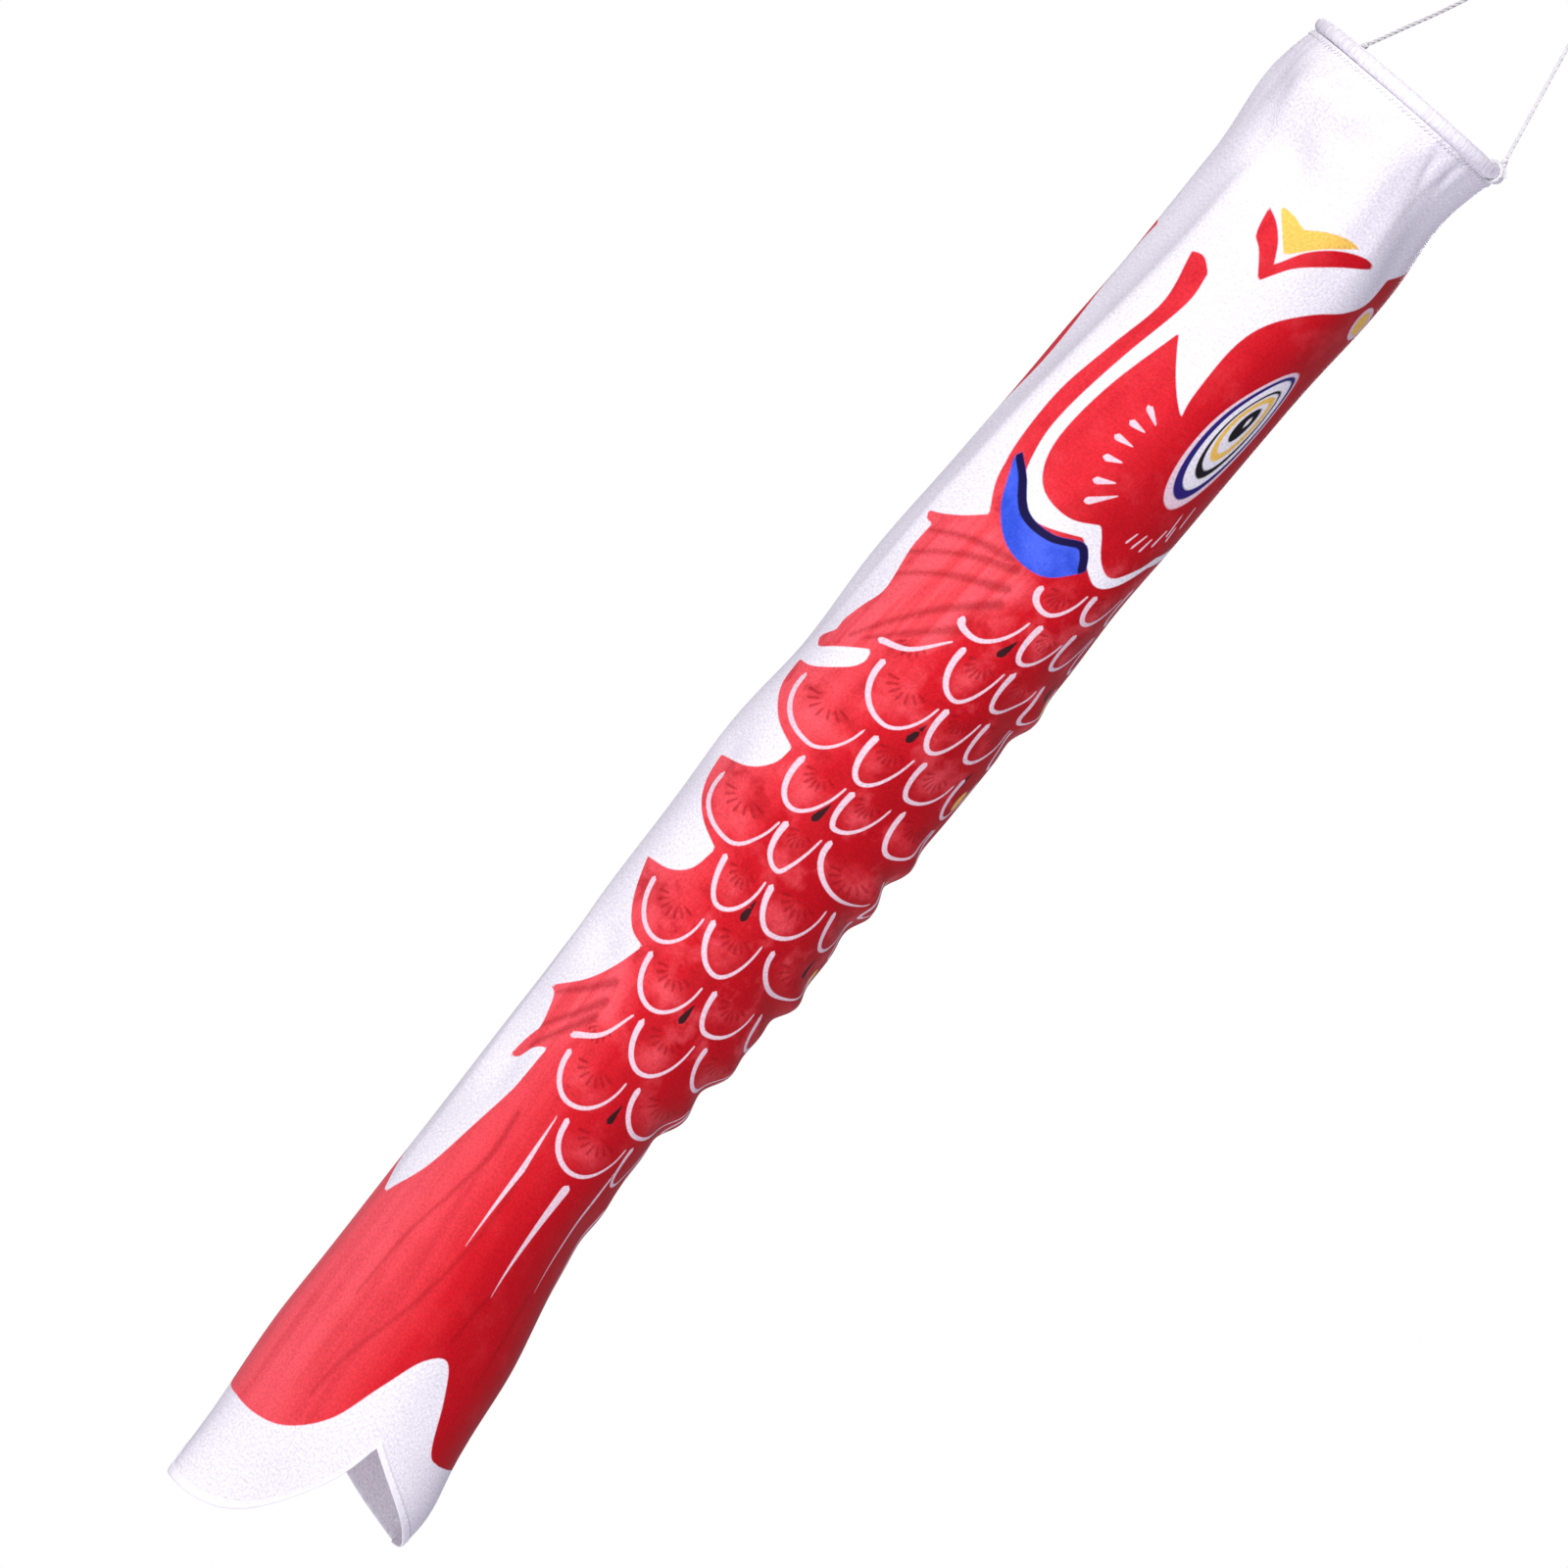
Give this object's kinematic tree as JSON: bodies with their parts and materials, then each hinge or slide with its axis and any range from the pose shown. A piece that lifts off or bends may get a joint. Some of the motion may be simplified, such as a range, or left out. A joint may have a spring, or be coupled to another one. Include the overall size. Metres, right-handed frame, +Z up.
{
  "type": "carp streamer",
  "caption": "Carp-shaped cloth windsock that hangs from a string bridle: round stiffened mouth, printed tube body and forked open tail that swing and bend in the wind.",
  "frame": {"origin": "inside top of the hanging loop, the point that rests on a hook", "axes": "+Z up, from the tail towards the mouth and the loop as the streamer hangs; -Y faces the viewer of the fish's left flank; +X to the viewer's right, towards the fish's back"},
  "size_m": [0.1019, 0.114, 0.8268],
  "materials": {
    "cord": "white two-strand twisted cord",
    "hoop_rod": "plain extruded rod, sprung to a circle",
    "joiner": "clear grey push-on tube",
    "white_satin": "white polyester satin, faint lavender in the shade",
    "thread": "white overlock thread",
    "printed_satin": "polyester satin with a printed red carp pattern",
    "seam_tape": "folded raw edge of the same satin"
  },
  "bodies": {
    "hanger": {"hanging_loop": "cord"},
    "bridle": {"apex_knot": "cord", "left_bridle_cord": "cord", "right_bridle_cord": "cord"},
    "mouth": {"left_rim_tie": "cord", "right_rim_tie": "cord", "mouth_hoop": "hoop_rod", "hoop_joiner": "joiner", "hoop_casing": "white_satin", "casing_stitching": "thread", "head_cloth": "printed_satin", "head_seam": "seam_tape", "body_bend_cloth": "printed_satin"},
    "middle": {"middle_cloth": "printed_satin", "middle_seam": "seam_tape", "tail_bend_cloth": "printed_satin"},
    "tail": {"tail_cloth": "printed_satin", "tail_seam": "seam_tape", "tail_hem": "white_satin"}
  },
  "joints": [
    {"name": "bridle_swing", "type": "hinge", "parent": "hanger", "child": "bridle", "pos_m": [0, 0, -0.0131], "axis": [0.8, -0.6, 0], "range_deg": [-60, 60]},
    {"name": "hoop_rock", "type": "hinge", "parent": "bridle", "child": "mouth", "pos_m": [-0.049, 0.03675, -0.1185], "axis": [0.7994, -0.5996, -0.0388], "range_deg": [-35, 35]},
    {"name": "body_bend", "type": "hinge", "parent": "mouth", "child": "middle", "pos_m": [-0.032, 0.028, -0.35], "axis": [1, 0, 0], "range_deg": [-25, 25], "deforming": ["body_bend_cloth"]},
    {"name": "tail_bend", "type": "hinge", "parent": "middle", "child": "tail", "pos_m": [-0.0387, 0.028, -0.605], "axis": [1, 0, 0], "range_deg": [-35, 35], "deforming": ["tail_bend_cloth"]}
  ]
}
